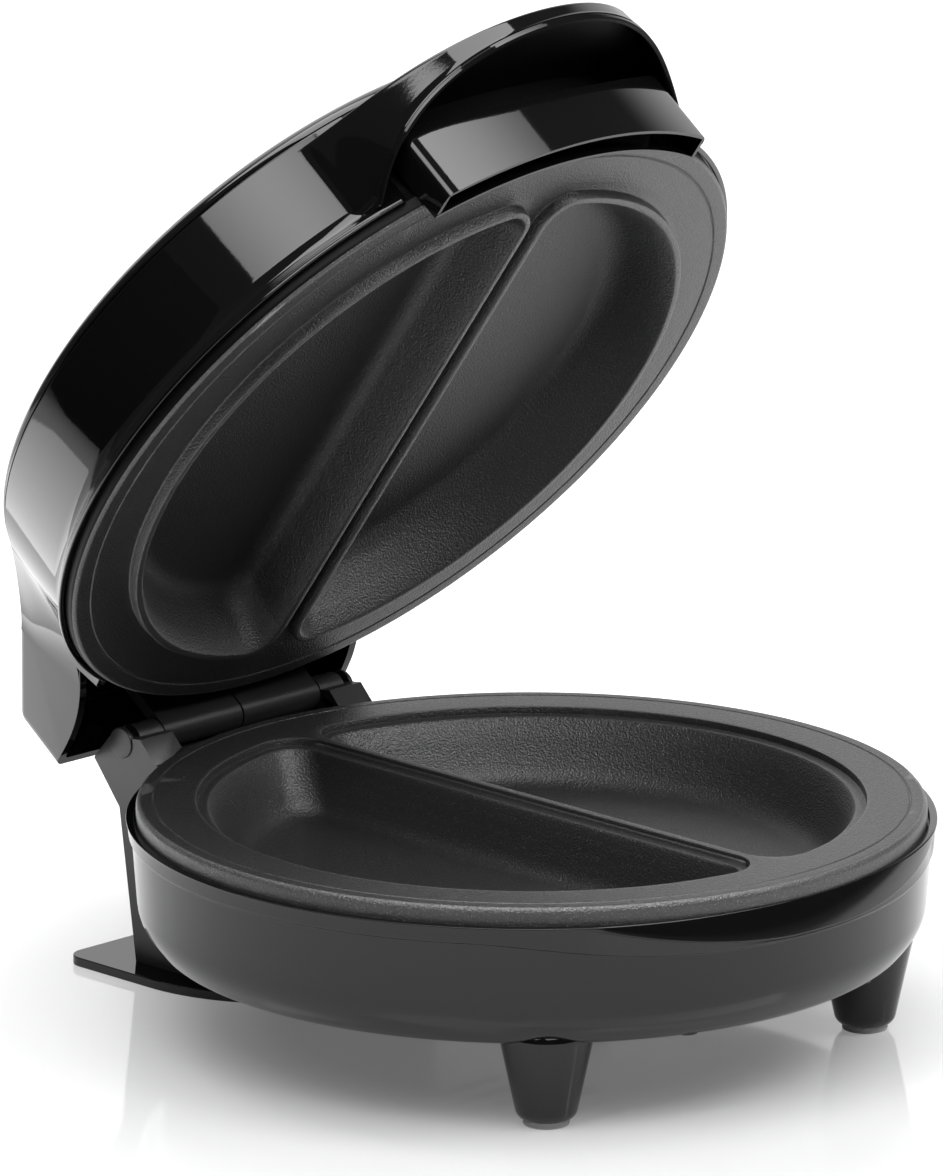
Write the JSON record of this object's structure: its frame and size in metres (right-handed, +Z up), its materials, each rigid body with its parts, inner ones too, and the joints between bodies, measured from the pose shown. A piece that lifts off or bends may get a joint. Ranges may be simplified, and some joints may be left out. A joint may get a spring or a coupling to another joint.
{
  "type": "omelette maker",
  "caption": "Round clamshell countertop omelette cooker, lid open: split non-stick plates, visor grip at the front, rear hinge, front feet and a rear stand.",
  "frame": {"origin": "On the surface it stands on, under the middle of the bounding box of the whole cooker with its lid open.", "axes": "+Z up, -Y the front with the grip, +Y the rear with the hinge and stand, +X to the right seen from the front; the left and right halves mirror each other in X."},
  "size_m": [0.1974, 0.2308, 0.255],
  "materials": {
    "gloss_shell": "high-gloss black moulding",
    "satin_shell": "satin black moulding",
    "pale_plastic": "cream heat-resistant moulding",
    "board": "green lamp board",
    "non_stick": "cast aluminium under a dark speckled non-stick coating",
    "sheet_aluminium": "bright sheet",
    "steel": "plain steel",
    "pad_rubber": "black rubber",
    "lead_cover": "white heat-resistant sleeve",
    "lens": "tinted clear lens"
  },
  "bodies": {
    "base": {"base_shell": "gloss_shell", "base_bottom_cover": "satin_shell", "bottom_cover_screws": "steel", "front_feet": "gloss_shell", "foot_pads": "pad_rubber", "rear_stand": "satin_shell", "stand_screws": "steel", "rear_sole_plate": "gloss_shell", "sole_plate_screws": "steel", "cord_inlet_ring": "satin_shell", "hinge_pin": "steel", "lower_cooking_plate": "non_stick", "lower_plate_screws": "steel", "lower_heating_element": "steel", "lower_heat_reflector": "sheet_aluminium", "lower_reflector_screw": "steel", "thermostat": "steel", "thermal_fuse": "steel", "terminal_block": "pale_plastic", "base_leads": "lead_cover"},
    "lid": {"lid_housing": "gloss_shell", "lid_top_cover": "gloss_shell", "top_cover_screws": "steel", "indicator_lenses": "lens", "indicator_board": "board", "grip_block": "gloss_shell", "grip_screws": "steel", "hinge_bracket": "satin_shell", "hinge_bracket_screws": "steel", "upper_cooking_plate": "non_stick", "upper_plate_screws": "steel", "upper_heating_element": "steel", "upper_heat_reflector": "sheet_aluminium", "upper_reflector_screw": "steel", "lid_leads": "lead_cover"}
  },
  "joints": [
    {"name": "lid_hinge", "type": "hinge", "parent": "base", "child": "lid", "pos_m": [0, 0.08842, 0.0576], "axis": [1, 0, 0], "range_deg": [-46.3, 53.7]}
  ]
}
